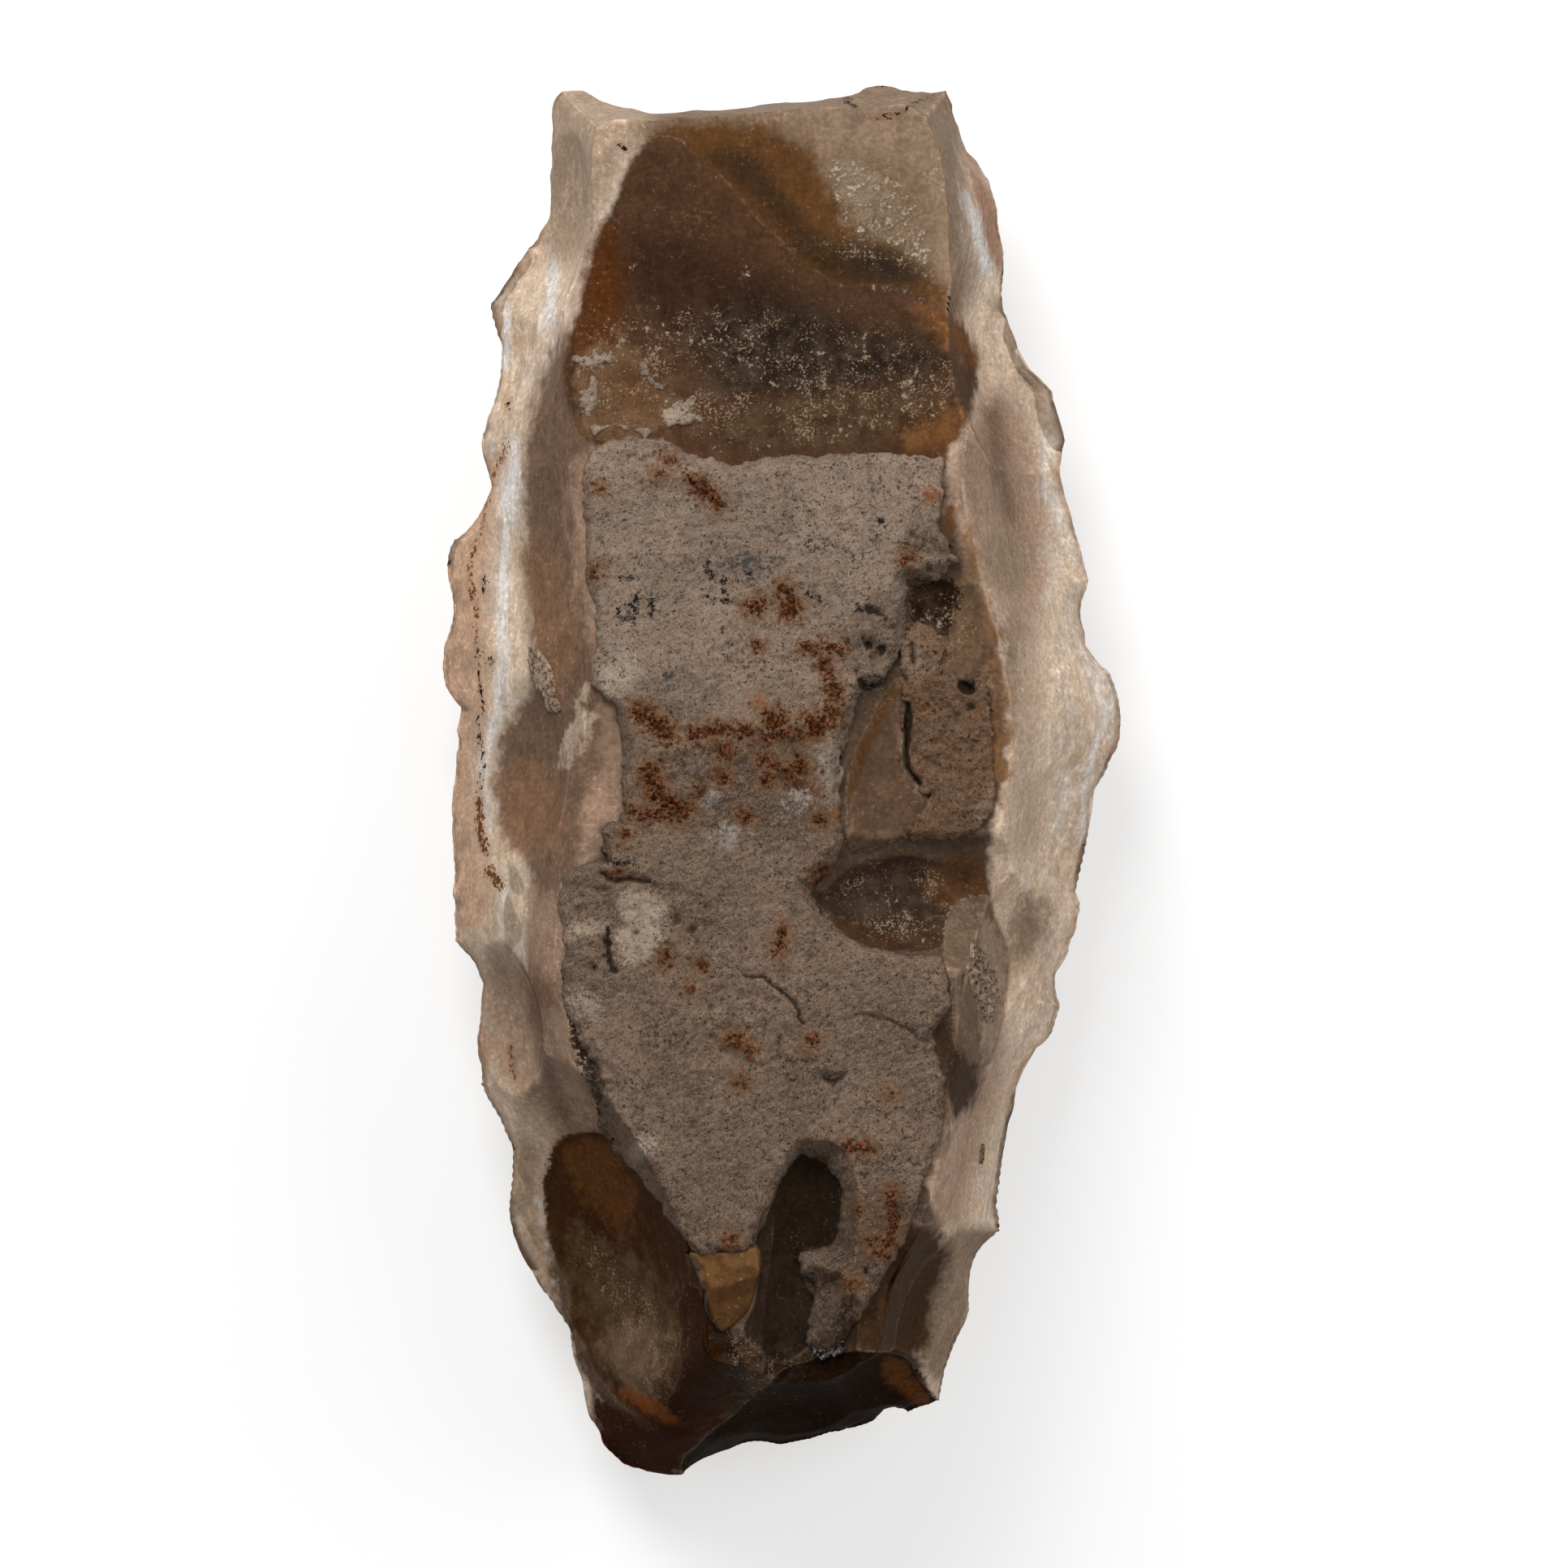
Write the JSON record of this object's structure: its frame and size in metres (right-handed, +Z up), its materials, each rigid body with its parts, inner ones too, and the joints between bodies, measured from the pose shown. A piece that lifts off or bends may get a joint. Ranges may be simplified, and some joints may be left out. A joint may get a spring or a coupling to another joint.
{
  "type": "flint blade core",
  "caption": "Long boat-shaped stone blade core with a flat chalky rind on its upper face, scalloped edges, and long blade scars on the face it rests on.",
  "frame": {"origin": "middle of the box around the stone, at the level of the surface it rests on", "axes": "+X across the width, +Y along the length towards the broad end with the large end scar, +Z up through the rind; the blade face is underneath"},
  "size_m": [0.123, 0.2499, 0.062],
  "materials": {
    "flint": "waxy, banded brown to grey with pale patina",
    "rind": "gritty, dry",
    "honey_flint": "waxy, slightly translucent",
    "quartz": "fine glittering crystals",
    "chalk": "chalky",
    "limonite": "rusty, earthy"
  },
  "bodies": {
    "root": {"flint_body": "flint", "upper_rind": "rind", "pocket_rind": "rind", "ledge_rind": "rind", "honey_chip": "honey_flint", "quartz_druse": "quartz", "large_chalk_plug": "chalk", "small_chalk_plug": "chalk", "edge_chalk_plug": "chalk", "chalk_concretion": "chalk", "limonite_stains": "limonite"}
  },
  "joints": []
}
